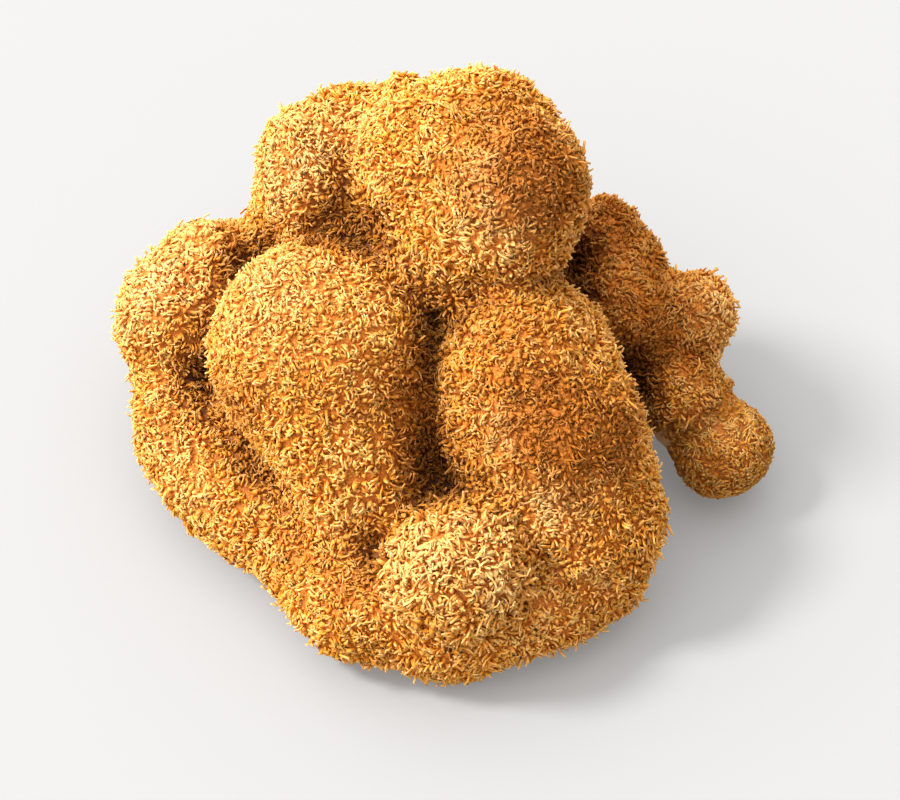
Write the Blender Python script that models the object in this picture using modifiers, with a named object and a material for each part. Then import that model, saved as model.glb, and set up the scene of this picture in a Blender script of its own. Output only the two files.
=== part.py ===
"""A dried lion's mane mushroom, whole, as it rests on the flat cut where it grew.

The fruiting body is one piece: rounded lobes of flesh that ran together as they grew, covered all
over in short curled spines. The lobes are a table of rounded lumps in millimetres, and some of them
run on from one to the next. They are merged, made lumpy and cut flat below, and each facet of the
skin is then drawn out into a spine.
Front is -Y, up is +Z, and the origin is the middle of the body's box, on the surface it rests on.
"""

import random
from typing import NamedTuple

import bmesh
import bpy
from mathutils import Matrix, Vector, noise
from mathutils.bvhtree import BVHTree

MM = 0.001

# Driving dimensions, in millimetres
SPINE_COVER = 2.0  # how far the coat of spines stands over the flesh
SPINE_REACH = 1.45  # the height of a spine, as a share of the cover there
SPINE_RANGE = (0.75, 1.1)  # how that height varies from spine to spine
SPINE_LEAN = 0.55  # the most that a tip leans each way, as a share of its height
LUMP_HEIGHT = 0.9  # the small lumps in a lobe's surface
LUMP_SPACING = 11.0
LOBE_FINENESS = 4  # subdivisions of the ball that a lobe starts from
RUN_STEPS = 4  # the steps from each lobe of a run to the next
MERGE_FINENESS = 1.5  # the fineness at which neighbouring lobes merge
EVEN_OUT_SHARE = 0.5
EVEN_OUT_STEPS = 3
LOWEST_TIP = 0.4  # no spine comes closer than this to the surface below
FACET_COUNT = 1800  # facets of the skin before the longest are parted
LONGEST_EDGE = 7.1  # a longer edge of a facet is parted, so that no spine is too wide
SHORTEN_ROUNDS = 8  # where spines of facing lobes meet in a crease
SHORTEN_TO = 0.5
SEED = 11

# The middle of the finished body's box, seen from above, in the frame of the table of lobes
BOX_MIDDLE = (-0.5, -0.4)


class Lobe(NamedTuple):
    """A rounded lump of flesh: its middle and its half widths along X, Y and Z, in millimetres."""

    name: str
    middle: tuple[float, float, float]
    half: tuple[float, float, float]
    cover: float = SPINE_COVER


TOP = (
    Lobe("top_right", (10.5, 5.5, 55.0), (10.5, 13.0, 13.0)),
    Lobe("top_right_high", (6.0, 12.0, 58.0), (10.5, 11.0, 11.0)),
    Lobe("top_right_stem", (4.0, 6.5, 43.0), (12.5, 12.5, 14.0)),
    Lobe("top_middle", (-7.0, 16.0, 50.0), (6.0, 11.5, 11.5)),
    Lobe("top_middle_stem", (-7.0, 12.5, 38.0), (8.0, 9.0, 10.0)),
    Lobe("top_left", (-21.5, 18.5, 44.0), (7.5, 11.0, 12.0)),
    Lobe("top_left_back", (-14.0, 25.0, 49.5), (9.5, 6.0, 6.5)),
    Lobe("top_left_low", (-23.5, 17.0, 38.0), (6.5, 7.5, 8.0)),
    Lobe("top_left_stem", (-17.0, 19.5, 32.0), (10.0, 10.0, 12.0)),
    Lobe("top_valley", (-14.5, 14.5, 40.0), (6.5, 8.0, 8.5)),
    Lobe("tuft", (-6.5, 24.5, 59.0), (2.0, 2.0, 2.0), 1.2),
)

CHEEK = (
    Lobe("cheek", (-19.3, -8.0, 32.0), (16.7, 17.0, 16.5)),
    Lobe("cheek_middle", (-15.5, -16.5, 28.0), (13.0, 13.0, 13.0)),
    Lobe("cheek_low", (-12.5, -24.5, 21.5), (9.5, 10.0, 10.5)),
    Lobe("cheek_flank", (-11.0, -12.0, 24.0), (9.5, 14.0, 12.0)),
)

FRONT = (
    Lobe("front_top", (11.5, -14.0, 36.0), (10.5, 11.0, 11.5)),
    Lobe("front_shoulder", (17.0, -8.0, 32.0), (8.0, 10.0, 10.0)),
    Lobe("front_middle", (15.5, -21.0, 28.5), (14.5, 13.0, 13.5)),
    Lobe("front_low", (23.0, -29.5, 17.5), (10.8, 11.5, 11.0)),
    Lobe("front_small", (2.2, -41.0, 19.5), (10.0, 10.0, 10.0)),
    Lobe("crease_low", (-2.5, -26.0, 15.5), (7.5, 7.5, 7.5)),
)

LEFT = (
    Lobe("left", (-43.5, 7.0, 23.0), (10.0, 10.5, 10.5)),
    Lobe("left_top", (-39.5, 11.0, 26.0), (9.0, 9.5, 9.5)),
    Lobe("left_back", (-36.0, 18.5, 24.0), (6.0, 6.0, 6.0)),
    Lobe("left_saddle", (-29.0, 19.0, 23.0), (6.0, 7.0, 7.0)),
    Lobe("left_low", (-46.5, 2.0, 17.0), (4.5, 5.5, 5.5)),
    Lobe("left_under", (-39.0, 5.5, 12.0), (8.0, 9.0, 9.0)),
)

RIM = (
    Lobe("rim_left", (-42.5, -9.5, 12.0), (7.5, 8.5, 8.5)),
    Lobe("rim_left_front", (-35.5, -19.0, 10.5), (8.5, 8.0, 8.0)),
    Lobe("rim_front_left", (-24.0, -28.0, 10.0), (8.0, 7.5, 7.5)),
    Lobe("rim_front", (-13.5, -41.0, 9.5), (8.0, 7.5, 7.5)),
    Lobe("rim_front_middle", (1.0, -44.0, 8.5), (10.0, 7.5, 7.5)),
    Lobe("rim_front_right", (16.0, -39.0, 9.5), (9.0, 7.5, 7.5)),
    Lobe("rim_right", (22.5, -33.5, 9.5), (9.0, 8.0, 8.0)),
)

CLUSTER = (
    Lobe("cluster_top", (26.8, 18.0, 31.0), (5.0, 5.5, 5.5)),
    Lobe("cluster_bump", (31.0, 14.0, 27.5), (5.0, 5.5, 5.5)),
    Lobe("cluster_middle", (29.5, 5.5, 27.0), (6.5, 7.5, 7.5)),
    Lobe("cluster_right", (41.0, 6.5, 24.0), (6.0, 6.5, 6.5)),
    Lobe("cluster_stem", (35.0, 2.0, 15.0), (6.5, 8.0, 7.0)),
    Lobe("cluster_low", (38.5, -3.5, 17.5), (6.0, 6.5, 6.5)),
    Lobe("cluster_nub", (47.0, 0.5, 14.0), (1.8, 2.0, 2.2), 1.0),
    Lobe("cluster_under", (36.0, 8.5, 12.0), (8.0, 9.0, 9.0)),
    Lobe("bare_neck", (38.0, -7.5, 11.0), (3.5, 3.5, 3.5), 0.0),
    Lobe("ball", (46.3, -9.8, 9.3), (8.3, 8.2, 8.2), 0.5),
)

BACK = (
    Lobe("back_left", (-16.0, 33.5, 17.0), (13.5, 13.0, 13.0)),
    Lobe("back_low", (-5.0, 42.5, 12.0), (10.0, 8.0, 9.0)),
    Lobe("back_middle", (6.0, 29.5, 20.0), (12.0, 12.0, 15.0)),
    Lobe("back_high", (-6.0, 27.0, 33.0), (12.0, 9.0, 11.0)),
    Lobe("back_right", (18.0, 24.5, 14.0), (8.0, 8.0, 10.0)),
    Lobe("side_left", (-32.0, 16.5, 14.0), (9.0, 10.0, 10.0)),
)

CORE = (
    Lobe("core", (-3.0, -0.5, 12.0), (30.0, 26.0, 20.0)),
    Lobe("core_left", (-27.0, -3.0, 12.5), (16.5, 16.5, 10.5)),
    Lobe("core_low", (-6.0, -25.0, 11.0), (20.5, 14.5, 8.5)),
    Lobe("core_top", (-1.5, 3.0, 29.0), (9.0, 9.0, 8.0)),
    Lobe("core_back", (-0.5, 14.0, 22.0), (16.5, 14.5, 13.0)),
    Lobe("core_front", (-0.5, -14.0, 14.0), (22.5, 18.0, 12.0)),
    Lobe("core_right", (19.5, 7.5, 15.0), (11.5, 14.5, 11.0)),
)

LOBES = TOP + CHEEK + FRONT + LEFT + RIM + CLUSTER + BACK + CORE

# Lobes that run on from one to the next without a crease
RUNS = (
    ("top_left_low", "top_left", "top_left_back"),
    ("top_middle", "top_right_high"),
    ("top_middle", "tuft"),
    ("top_middle_stem", "top_right_stem"),
    ("top_right", "top_right_stem"),
    ("cheek", "cheek_middle", "cheek_low"),
    ("front_top", "front_middle", "front_low", "rim_right"),
    ("front_shoulder", "front_middle"),
    ("left_back", "left_saddle", "top_left_low"),
    (
        "left_low",
        "rim_left",
        "rim_left_front",
        "rim_front_left",
        "rim_front",
        "rim_front_middle",
        "rim_front_right",
        "rim_right",
    ),
    ("cluster_top", "cluster_bump"),
)

SPINE_COLOUR = (0.62, 0.31, 0.075, 1.0)
SPINE_ROUGHNESS = 0.7


def clear_scene():
    """Remove every object of the open file."""
    for thing in list(bpy.data.objects):
        bpy.data.objects.remove(thing, do_unlink=True)


def new_collection(name):
    """A collection in the scene, made afresh."""
    made = bpy.data.collections.new(name)
    bpy.context.scene.collection.children.link(made)
    return made


def spine_material():
    """The golden, matt skin of dried spines."""
    made = bpy.data.materials.new("dried_spines")
    made.use_nodes = True
    shader = made.node_tree.nodes["Principled BSDF"]
    shader.inputs["Base Color"].default_value = SPINE_COLOUR
    shader.inputs["Roughness"].default_value = SPINE_ROUGHNESS
    shader.inputs["Metallic"].default_value = 0.0
    return made


def object_of(name, shape, collection):
    """An object that holds the given bmesh, which is freed."""
    mesh = bpy.data.meshes.new(name)
    shape.to_mesh(mesh)
    shape.free()
    made = bpy.data.objects.new(name, mesh)
    collection.objects.link(made)
    return made


def evaluated_shape(thing):
    """The object's mesh with its modifiers applied, as a bmesh. The object itself is removed."""
    graph = bpy.context.evaluated_depsgraph_get()
    shape = bmesh.new()
    shape.from_object(thing, graph)
    bpy.data.objects.remove(thing, do_unlink=True)
    return shape


def part_way(first, second, part):
    """The sizes that lie the given part of the way from the first ones to the second ones."""
    return tuple(start + (end - start) * part for start, end in zip(first, second))


def lobe_between(first, second, part):
    """The lobe that fills in a run, the given part of the way from one of its lobes to the next."""
    middle = part_way(first.middle, second.middle, part)
    half = part_way(first.half, second.half, part)
    (cover,) = part_way((first.cover,), (second.cover,), part)
    return Lobe(f"{first.name}_to_{second.name}", middle, half, cover)


def lobes_with_runs():
    """The lobes of the table, and those that fill in the runs between them."""
    named = {lobe.name: lobe for lobe in LOBES}
    filled = list(LOBES)
    for run in RUNS:
        for first, second in zip(run, run[1:]):
            for step in range(1, RUN_STEPS):
                filled.append(lobe_between(named[first], named[second], step / RUN_STEPS))
    return filled


def merged(lobes, collection):
    """All the lobes as one closed skin, with the creases between them evened out a little."""
    shape = bmesh.new()
    for lobe in lobes:
        place = Matrix.LocRotScale(Vector(lobe.middle) * MM, None, Vector(lobe.half) * MM)
        bmesh.ops.create_icosphere(shape, subdivisions=LOBE_FINENESS, radius=1.0, matrix=place)
    flesh = object_of("flesh", shape, collection)
    merge = flesh.modifiers.new("merge", "REMESH")
    merge.mode = "VOXEL"
    merge.voxel_size = MERGE_FINENESS * MM
    even = flesh.modifiers.new("even out", "SMOOTH")
    even.factor = EVEN_OUT_SHARE
    even.iterations = EVEN_OUT_STEPS
    return evaluated_shape(flesh)


def add_lumps(shape):
    """Push the skin in and out by the small lumps in a lobe's surface."""
    shape.normal_update()
    moves = []
    for point in shape.verts:
        place = point.co / (LUMP_SPACING * MM)
        moves.append(point.normal * noise.noise(place) * LUMP_HEIGHT * MM)
    for point, move in zip(shape.verts, moves):
        point.co += move


def thin_out(shape, collection):
    """The same skin in a few even facets, each the foot of one spine."""
    triangles = sum(len(face.verts) - 2 for face in shape.faces)
    skin = object_of("skin", shape, collection)
    fewer = skin.modifiers.new("fewer facets", "DECIMATE")
    fewer.ratio = FACET_COUNT / triangles
    fewer.use_collapse_triangulate = True
    shape = evaluated_shape(skin)
    long_edges = [edge for edge in shape.edges if edge.calc_length() > LONGEST_EDGE * MM]
    bmesh.ops.subdivide_edges(shape, edges=long_edges, cuts=1)
    bmesh.ops.triangulate(shape, faces=[face for face in shape.faces if len(face.verts) > 3])
    return shape


def cut_foot(shape):
    """Cut the body flat where it grew from its wood, and close the cut. Returns the cut's faces."""
    everything = shape.verts[:] + shape.edges[:] + shape.faces[:]
    bmesh.ops.bisect_plane(
        shape, geom=everything, plane_co=(0, 0, 0), plane_no=(0, 0, 1), clear_inner=True
    )
    rim = [edge for edge in shape.edges if edge.is_boundary]
    cut = bmesh.ops.holes_fill(shape, edges=rim, sides=0)["faces"]
    cut = bmesh.ops.triangulate(shape, faces=cut)["faces"]
    side = [face for face in shape.faces if face not in set(cut)]
    bmesh.ops.triangulate(shape, faces=[face for face in side if len(face.verts) > 3])
    bmesh.ops.recalc_face_normals(shape, faces=shape.faces[:])
    return cut


def cover_at(place, lobes):
    """How far the spines stand over the flesh there, in millimetres: that of the nearest lobe."""

    def depth(lobe):
        away = place / MM - Vector(lobe.middle)
        return Vector([apart / half for apart, half in zip(away, lobe.half)]).length

    return min(lobes, key=depth).cover


def draw_out_spines(shape, cut, lobes):
    """Draw each facet of the skin, but not of the cut, out into a spine that leans its own way.

    Returns each spine's tip with the middle of the facet that it grew from.
    """
    chance = random.Random(SEED)
    flat = set(cut)
    roots = {}
    for face in [face for face in shape.faces if face not in flat]:
        root = face.calc_center_median()
        height = cover_at(root, lobes) * SPINE_REACH * chance.uniform(*SPINE_RANGE) * MM
        outward = face.normal.copy()
        lean = Vector([chance.uniform(-1.0, 1.0) for _ in range(3)])
        lean -= outward * lean.dot(outward)
        tip = bmesh.ops.poke(shape, faces=[face])["verts"][0]
        tip.co = root + (outward + lean * SPINE_LEAN) * height
        tip.co.z = max(tip.co.z, LOWEST_TIP * MM)
        roots[tip] = root
    return roots


def shorten_crossed(shape, roots):
    """Shorten the spines that run into one another across a crease, until none does."""
    for _ in range(SHORTEN_ROUNDS):
        shape.faces.ensure_lookup_table()
        tree = BVHTree.FromBMesh(shape)
        crossed = {}
        for first, second in tree.overlap(tree):
            corners = shape.faces[first].verts[:] + shape.faces[second].verts[:]
            if len(set(corners)) == len(corners):
                crossed.update((point, roots[point]) for point in corners if point in roots)
        for tip, root in crossed.items():
            tip.co = root.lerp(tip.co, SHORTEN_TO)
        if not crossed:
            return


def main():
    """Build the fruiting body, in a collection of its own."""
    clear_scene()
    mushroom = new_collection("lions_mane_mushroom")
    lobes = lobes_with_runs()
    shape = merged(lobes, mushroom)
    add_lumps(shape)
    shape = thin_out(shape, mushroom)
    cut = cut_foot(shape)
    roots = draw_out_spines(shape, cut, lobes)
    shorten_crossed(shape, roots)
    bmesh.ops.translate(shape, verts=shape.verts[:], vec=-Vector((*BOX_MIDDLE, 0.0)) * MM)
    body = object_of("fruiting_body", shape, mushroom)
    body.data.materials.append(spine_material())


main()
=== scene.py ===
"""A dried lion's mane mushroom: its fine skin and its thin curled spines, on a plain pale floor.

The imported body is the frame. The skin is made from the same table of lobes, at a finer scale, and
the spines are real meshes that grow out of it, one mesh for each part of the body.
"""

import logging
import math
from collections.abc import Sequence
from dataclasses import dataclass
from enum import Enum

import bmesh
import bpy
import numpy as np
from mathutils import Matrix, Vector, noise
from mathutils.bvhtree import BVHTree
from mathutils.kdtree import KDTree


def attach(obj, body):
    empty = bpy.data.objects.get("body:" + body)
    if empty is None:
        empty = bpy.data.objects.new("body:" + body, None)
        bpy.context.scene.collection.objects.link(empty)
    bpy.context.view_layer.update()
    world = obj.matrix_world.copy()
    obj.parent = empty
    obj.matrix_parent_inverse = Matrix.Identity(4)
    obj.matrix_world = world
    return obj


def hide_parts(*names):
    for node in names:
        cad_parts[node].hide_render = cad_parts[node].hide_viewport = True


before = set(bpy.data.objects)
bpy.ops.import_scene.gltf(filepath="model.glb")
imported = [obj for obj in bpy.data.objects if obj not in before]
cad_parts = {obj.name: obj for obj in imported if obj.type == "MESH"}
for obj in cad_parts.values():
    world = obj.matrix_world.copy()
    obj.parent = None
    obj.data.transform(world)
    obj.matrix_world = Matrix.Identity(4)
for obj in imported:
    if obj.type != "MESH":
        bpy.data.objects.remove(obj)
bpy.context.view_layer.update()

MM = 0.001
NODE = "fruiting_body"
BODY = "root"
SEED = 7

# How open the skin lies where the flesh's painted crease shade makes it darkest and where the flesh is
# lightest, as shares of the sky
DARK_FLESH_OPEN = 0.35
LIGHT_FLESH_OPEN = 0.85
# The share of the flesh's lightness kept below felted spines: painted shade, darker still there
FELTED_LIGHT = 0.75

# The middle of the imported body's box, seen from above, in the frame of the table of lobes
BOX_MIDDLE_MM = (-0.5, -0.4)

LOG = logging.getLogger("lions_mane")

Array = np.ndarray


class Region(Enum):
    """The parts of the body, each of which has its spines in one mesh."""

    TOP_RIGHT = "top_right"
    TOP_LEFT = "top_left"
    CHEEK = "cheek"
    FRONT = "front"
    LEFT = "left"
    RIM = "rim"
    CLUSTER = "cluster"
    BACK = "back"
    CORE = "core"


class CoatKind(Enum):
    """The ways in which the spines of a lobe grow."""

    CURLED = "curled"
    SHAGGY = "shaggy"
    CLOSE = "close"
    FELTED = "felted"
    BARE = "bare"


@dataclass(frozen=True)
class Coat:
    """How the spines of a lobe grow: sizes in millimetres, angles in degrees off the skin's normal.

    "unrest" is the share of the usual unevenness, and "tone" is added to each spine's shade, as
    painted shadow that darkens the felted ball. The spines of a coat that isn't tufted neither burst
    open nor stray.
    """

    length: float
    thickness: float
    spacing: float
    rise: float
    fall: float
    swirl: float
    unrest: float = 1.0
    tufted: bool = True
    tone: float = 0.0


COATS: dict[CoatKind, Coat] = {
    CoatKind.CURLED: Coat(2.2, 0.42, 0.59, 16.0, 99.0, 200.0),
    CoatKind.SHAGGY: Coat(2.9, 0.43, 0.59, 14.0, 98.0, 200.0),
    CoatKind.CLOSE: Coat(2.05, 0.41, 0.58, 18.0, 101.0, 200.0),
    # The felted ball's tone is painted shadow, which darkens its spines
    CoatKind.FELTED: Coat(2.3, 0.35, 0.5, 66.0, 90.0, 240.0, 0.3, False, -0.5),
    CoatKind.BARE: Coat(0.0, 0.0, 0.0, 0.0, 0.0, 0.0),
}


@dataclass(frozen=True)
class Layer:
    """One layer of the coat, as shares of the coat's own sizes, and the rings of its spines."""

    spacing: float
    length: float
    thickness: float
    fall: float
    parts: tuple[float, ...]
    widths: tuple[float, ...]


# The curled spines that are seen, and shorter ones that fill in between their roots
UPPER = Layer(1.0, 1.0, 1.0, 1.0, (0.0, 0.36, 0.64, 0.94, 1.0), (1.15, 1.05, 1.0, 0.9))
UNDER = Layer(1.55, 0.65, 1.75, 0.7, (0.0, 0.6, 1.0), (1.6, 1.2))


@dataclass(frozen=True)
class Lobe:
    """One rounded lump of flesh: its middle and half widths along X, Y and Z, in millimetres."""

    name: str
    region: Region
    middle: tuple[float, ...]
    half: tuple[float, ...]
    coat: CoatKind = CoatKind.CURLED


TABLE: tuple[Lobe, ...] = (
    Lobe("top_right", Region.TOP_RIGHT, (10.5, 5.5, 55.0), (10.5, 13.0, 13.0)),
    Lobe("top_right_high", Region.TOP_RIGHT, (6.0, 12.0, 58.0), (10.5, 11.0, 11.0)),
    Lobe("top_right_stem", Region.TOP_RIGHT, (4.0, 6.5, 43.0), (12.5, 12.5, 14.0)),
    Lobe("top_middle", Region.TOP_LEFT, (-7.0, 16.0, 50.0), (6.0, 11.5, 11.5)),
    Lobe("top_middle_stem", Region.TOP_LEFT, (-7.0, 12.5, 38.0), (8.0, 9.0, 10.0)),
    Lobe("top_left", Region.TOP_LEFT, (-21.5, 18.5, 44.0), (7.5, 11.0, 12.0)),
    Lobe("top_left_back", Region.TOP_LEFT, (-14.0, 25.0, 49.5), (9.5, 6.0, 6.5)),
    Lobe("top_left_low", Region.TOP_LEFT, (-23.5, 17.0, 38.0), (6.5, 7.5, 8.0)),
    Lobe("top_left_stem", Region.TOP_LEFT, (-17.0, 19.5, 32.0), (10.0, 10.0, 12.0)),
    Lobe("top_valley", Region.TOP_LEFT, (-14.5, 14.5, 40.0), (6.5, 8.0, 8.5)),
    Lobe("tuft", Region.TOP_LEFT, (-6.5, 24.5, 59.0), (2.0, 2.0, 2.0)),
    Lobe("cheek", Region.CHEEK, (-19.3, -8.0, 32.0), (16.7, 17.0, 16.5), CoatKind.CLOSE),
    Lobe("cheek_middle", Region.CHEEK, (-15.5, -16.5, 28.0), (13.0, 13.0, 13.0)),
    Lobe("cheek_low", Region.CHEEK, (-12.5, -24.5, 21.5), (9.5, 10.0, 10.5)),
    Lobe("cheek_flank", Region.CHEEK, (-11.0, -12.0, 24.0), (9.5, 14.0, 12.0), CoatKind.CLOSE),
    Lobe("front_top", Region.FRONT, (11.5, -14.0, 36.0), (10.5, 11.0, 11.5)),
    Lobe("front_shoulder", Region.FRONT, (17.0, -8.0, 32.0), (8.0, 10.0, 10.0)),
    Lobe("front_middle", Region.FRONT, (15.5, -21.0, 28.5), (14.5, 13.0, 13.5)),
    Lobe("front_low", Region.FRONT, (23.0, -29.5, 17.5), (10.8, 11.5, 11.0)),
    Lobe("front_small", Region.FRONT, (2.2, -41.0, 19.5), (10.0, 10.0, 10.0), CoatKind.SHAGGY),
    Lobe("crease_low", Region.FRONT, (-2.5, -26.0, 15.5), (7.5, 7.5, 7.5)),
    Lobe("core_top", Region.CORE, (-1.5, 3.0, 29.0), (9.0, 9.0, 8.0)),
    Lobe("left", Region.LEFT, (-43.5, 7.0, 23.0), (10.0, 10.5, 10.5)),
    Lobe("left_top", Region.LEFT, (-39.5, 11.0, 26.0), (9.0, 9.5, 9.5)),
    Lobe("left_back", Region.LEFT, (-36.0, 18.5, 24.0), (6.0, 6.0, 6.0)),
    Lobe("left_saddle", Region.LEFT, (-29.0, 19.0, 23.0), (6.0, 7.0, 7.0)),
    Lobe("left_low", Region.LEFT, (-46.5, 2.0, 17.0), (4.5, 5.5, 5.5)),
    Lobe("left_under", Region.LEFT, (-39.0, 5.5, 12.0), (8.0, 9.0, 9.0)),
    Lobe("rim_left", Region.RIM, (-42.5, -9.5, 12.0), (7.5, 8.5, 8.5)),
    Lobe("rim_left_front", Region.RIM, (-35.5, -19.0, 10.5), (8.5, 8.0, 8.0)),
    Lobe("rim_front_left", Region.RIM, (-24.0, -28.0, 10.0), (8.0, 7.5, 7.5)),
    Lobe("rim_front", Region.RIM, (-13.5, -41.0, 9.5), (8.0, 7.5, 7.5)),
    Lobe("rim_front_middle", Region.RIM, (1.0, -44.0, 8.5), (10.0, 7.5, 7.5)),
    Lobe("rim_front_right", Region.RIM, (16.0, -39.0, 9.5), (9.0, 7.5, 7.5)),
    Lobe("rim_right", Region.RIM, (22.5, -33.5, 9.5), (9.0, 8.0, 8.0)),
    Lobe("core", Region.CORE, (-3.0, -0.5, 12.0), (30.0, 26.0, 20.0)),
    Lobe("core_left", Region.CORE, (-27.0, -3.0, 12.5), (16.5, 16.5, 10.5)),
    Lobe("core_low", Region.CORE, (-6.0, -25.0, 11.0), (20.5, 14.5, 8.5)),
    Lobe("core_front", Region.CORE, (-0.5, -14.0, 14.0), (22.5, 18.0, 12.0)),
    Lobe("cluster_top", Region.CLUSTER, (26.8, 18.0, 31.0), (5.0, 5.5, 5.5)),
    Lobe("cluster_bump", Region.CLUSTER, (31.0, 14.0, 27.5), (5.0, 5.5, 5.5)),
    Lobe("cluster_middle", Region.CLUSTER, (29.5, 5.5, 27.0), (6.5, 7.5, 7.5)),
    Lobe("cluster_right", Region.CLUSTER, (41.0, 6.5, 24.0), (6.0, 6.5, 6.5)),
    Lobe("cluster_stem", Region.CLUSTER, (35.0, 2.0, 15.0), (6.5, 8.0, 7.0)),
    Lobe("cluster_low", Region.CLUSTER, (38.5, -3.5, 17.5), (6.0, 6.5, 6.5)),
    Lobe("cluster_nub", Region.CLUSTER, (47.0, 0.5, 14.0), (1.8, 2.0, 2.2), CoatKind.BARE),
    Lobe("cluster_under", Region.CLUSTER, (36.0, 8.5, 12.0), (8.0, 9.0, 9.0)),
    Lobe("bare_neck", Region.CLUSTER, (38.0, -7.5, 11.0), (3.5, 3.5, 3.5), CoatKind.BARE),
    Lobe("ball", Region.CLUSTER, (46.3, -9.8, 9.3), (8.3, 8.2, 8.2), CoatKind.FELTED),
    Lobe("core_right", Region.CORE, (19.5, 7.5, 15.0), (11.5, 14.5, 11.0)),
    Lobe("back_left", Region.BACK, (-16.0, 33.5, 17.0), (13.5, 13.0, 13.0)),
    Lobe("back_low", Region.BACK, (-5.0, 42.5, 12.0), (10.0, 8.0, 9.0)),
    Lobe("back_middle", Region.BACK, (6.0, 29.5, 20.0), (12.0, 12.0, 15.0)),
    Lobe("back_high", Region.BACK, (-6.0, 27.0, 33.0), (12.0, 9.0, 11.0)),
    Lobe("back_right", Region.BACK, (18.0, 24.5, 14.0), (8.0, 8.0, 10.0)),
    Lobe("side_left", Region.BACK, (-32.0, 16.5, 14.0), (9.0, 10.0, 10.0)),
    Lobe("core_back", Region.CORE, (-0.5, 14.0, 22.0), (16.5, 14.5, 13.0)),
)

# Lobes that run on from one to the next without a crease
RUNS: tuple[tuple[str, ...], ...] = (
    ("top_left_low", "top_left", "top_left_back"),
    ("top_middle", "top_right_high"),
    ("top_middle", "tuft"),
    ("top_middle_stem", "top_right_stem"),
    ("top_right", "top_right_stem"),
    ("cheek", "cheek_middle", "cheek_low"),
    ("front_top", "front_middle", "front_low", "rim_right"),
    ("front_shoulder", "front_middle"),
    ("left_back", "left_saddle", "top_left_low"),
    (
        "left_low",
        "rim_left",
        "rim_left_front",
        "rim_front_left",
        "rim_front",
        "rim_front_middle",
        "rim_front_right",
        "rim_right",
    ),
    ("cluster_top", "cluster_bump"),
)
RUN_STEPS = 4

# The straight steps in which a spine's curved line is worked out, before its few rings are placed
LINE_STEPS = 20

# How far off the noises are read from the body's own place, which keeps them unlike one another
NOISE_APART = (3.1, 5.5, 9.1)


def part_way(first: Sequence[float], second: Sequence[float], part: float) -> tuple[float, ...]:
    """Work out the sizes that lie part of the way from the first ones to the second ones."""
    return tuple(start + (end - start) * part for start, end in zip(first, second))


def lobes_with_runs() -> tuple[Lobe, ...]:
    """List the lobes of the table, and those that fill in the runs between them.

    Returns:
        The lobes. One that fills in has the region and the coat of the nearer end.
    """
    named = {lobe.name: lobe for lobe in TABLE}
    filled = list(TABLE)
    for run in RUNS:
        for first, second in zip(run, run[1:]):
            start, end = named[first], named[second]
            for step in range(1, RUN_STEPS):
                part = step / RUN_STEPS
                middle = part_way(start.middle, end.middle, part)
                half = part_way(start.half, end.half, part)
                nearer = start if part < 0.5 else end
                name = f"{first}_to_{second}"
                filled.append(Lobe(name, nearer.region, middle, half, nearer.coat))
    return tuple(filled)


LOBES = lobes_with_runs()


@dataclass(frozen=True)
class Mark:
    """A place where the spines dried browner or paler than round it, or less so where it is negative; a
    few marks are painted shade or light.
    """

    middle: tuple[float, float, float]
    reach: float
    amount: float


TOASTED_AND_CREASE_SHADE: tuple[Mark, ...] = (
    Mark((12.5, 0.0, 67.5), 11.0, 1.3),
    Mark((16.0, -4.0, 65.0), 6.0, 0.8),
    Mark((-19.0, 4.0, 45.0), 7.0, 0.5),
    Mark((-21.0, 12.0, 56.0), 9.0, -0.5),
    Mark((-32.0, -4.0, 43.0), 4.0, 0.5),
    Mark((-33.0, -20.0, 33.0), 7.0, 0.6),
    Mark((-10.0, -22.0, 40.0), 8.0, 0.45),
    Mark((-4.0, -24.0, 31.0), 7.0, 0.6),
    Mark((-34.0, 18.0, 31.0), 5.0, 0.6),
    Mark((17.0, -29.0, 40.0), 13.0, 0.95),
    Mark((25.0, -31.0, 36.0), 9.0, 0.6),
    Mark((28.0, 5.0, 33.0), 11.0, 0.6),
    Mark((29.0, 17.0, 33.0), 10.0, 0.7),
    Mark((37.0, -2.0, 22.0), 9.0, 0.6),
    # Painted shade in the crease between the ball and the cluster
    Mark((42.0, -8.0, 16.5), 3.5, 1.2),
    Mark((-12.0, -42.0, 18.0), 8.0, 0.5),
    Mark((-24.0, -32.0, 16.0), 8.0, 0.3),
    Mark((20.0, -41.0, 12.0), 9.0, 0.4),
)

PALE_AND_PAINTED_LIGHT: tuple[Mark, ...] = (
    Mark((5.0, -5.0, 60.0), 9.0, 0.4),
    Mark((-46.0, 7.0, 35.0), 10.0, 0.8),
    Mark((-24.0, -10.0, 49.0), 10.0, 0.6),
    Mark((0.0, -43.0, 29.0), 9.0, 0.6),
    Mark((8.0, -47.0, 25.0), 7.0, 0.4),
    Mark((-21.0, 11.0, 55.0), 11.0, 0.5),
    Mark((8.0, -28.5, 39.5), 3.0, 1.1),
    Mark((18.0, -37.3, 29.8), 4.0, 0.8),
    Mark((-46.0, -14.0, 19.0), 9.0, 0.4),
    # Painted light: the patch of the cluster that light reaches between the lobes above it
    Mark((42.0, 2.0, 30.0), 8.0, 0.7),
    Mark((24.0, -42.0, 19.0), 8.0, 0.15),
)


def linear(colour: str) -> tuple[float, float, float, float]:
    """Turn an sRGB hex colour to linear light.

    Args:
        colour: The colour as #RRGGBB.

    Returns:
        Red, green, blue and an alpha of one.
    """
    parts = [int(colour[at : at + 2], 16) / 255.0 for at in (1, 3, 5)]
    light = [p / 12.92 if p <= 0.04045 else ((p + 0.055) / 1.055) ** 2.4 for p in parts]
    return (light[0], light[1], light[2], 1.0)


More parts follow.
